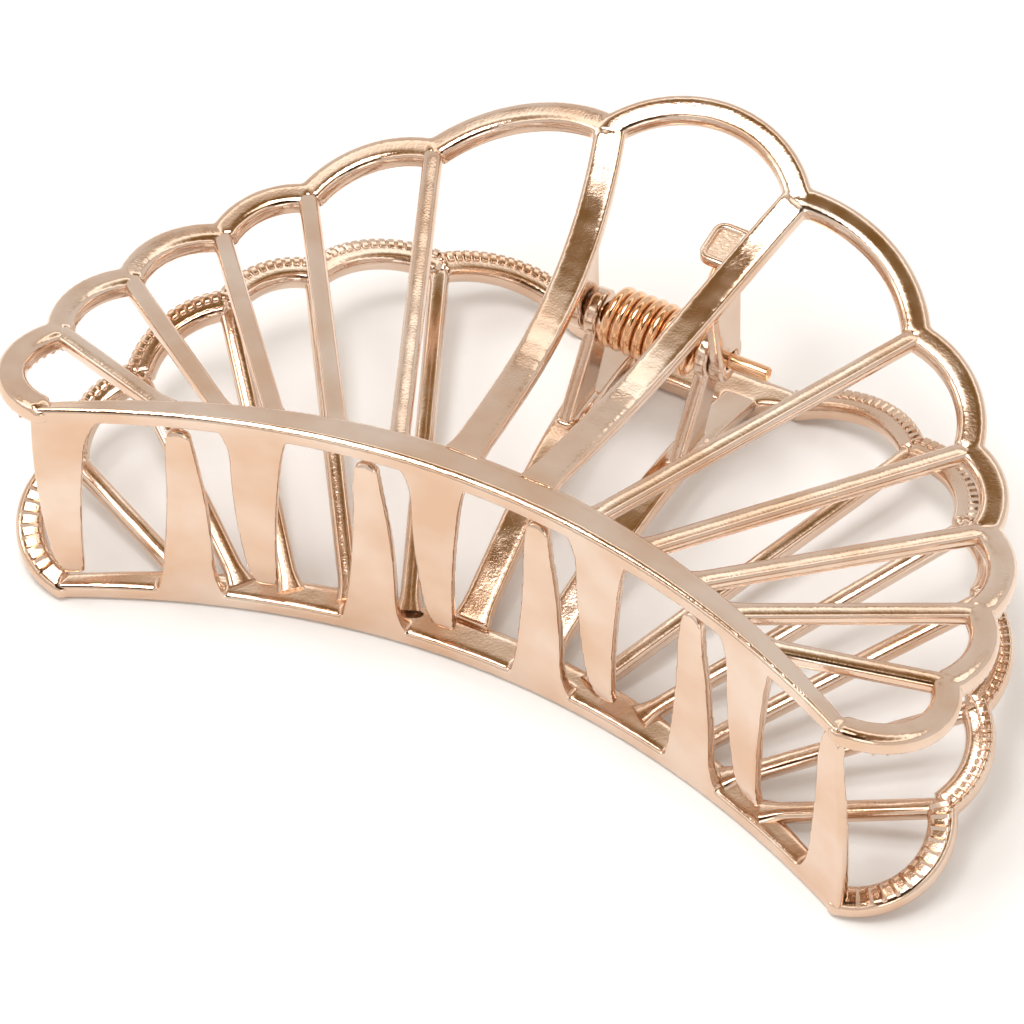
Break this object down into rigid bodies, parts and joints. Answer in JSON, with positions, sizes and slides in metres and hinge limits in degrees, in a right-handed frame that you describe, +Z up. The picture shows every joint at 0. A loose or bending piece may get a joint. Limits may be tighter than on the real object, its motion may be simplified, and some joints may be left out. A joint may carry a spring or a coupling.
{
  "type": "claw hair clip",
  "caption": "Rose-gold metal claw hair clip with two openwork scallop-shell jaws, flat curved claw teeth, a hinge pin and a torsion spring.",
  "frame": {"origin": "middle of the clip's footprint, on the surface that the closed clip lies on", "axes": "+X along the hinge pin, towards its free end; +Y from the claw teeth to the thumb levers; +Z up, from the back jaw to the front jaw"},
  "size_m": [0.0902, 0.0573, 0.0276],
  "materials": {
    "rose_gold_casting": "rose-gold plated, polished die casting",
    "copper_gold_wire": "copper-gold plated drawn steel wire"
  },
  "bodies": {
    "back_jaw": {"back_rim": "rose_gold_casting", "back_teeth": "rose_gold_casting", "back_centre_ribs": "rose_gold_casting", "back_left_ribs": "rose_gold_casting", "back_right_ribs": "rose_gold_casting", "back_scallop_left": "rose_gold_casting", "back_scallop_right": "rose_gold_casting", "back_thumb_bar": "rose_gold_casting", "back_lugs": "rose_gold_casting", "hinge_pin": "copper_gold_wire", "torsion_spring": "copper_gold_wire"},
    "front_jaw": {"front_rim": "rose_gold_casting", "front_teeth": "rose_gold_casting", "front_centre_ribs": "rose_gold_casting", "front_left_ribs": "rose_gold_casting", "front_right_ribs": "rose_gold_casting", "front_scallop_left": "rose_gold_casting", "front_scallop_right": "rose_gold_casting", "front_thumb_lobe": "rose_gold_casting", "front_lugs": "rose_gold_casting", "front_spring_seat": "rose_gold_casting"}
  },
  "joints": [
    {"name": "jaw_hinge", "type": "hinge", "parent": "back_jaw", "child": "front_jaw", "pos_m": [0, 0.0126, 0.013], "axis": [-1, 0, 0], "range_deg": [0, 40], "stiffness_Nm_per_rad": 0.1, "springref_deg": -57.3, "deforming": ["torsion_spring"]}
  ]
}
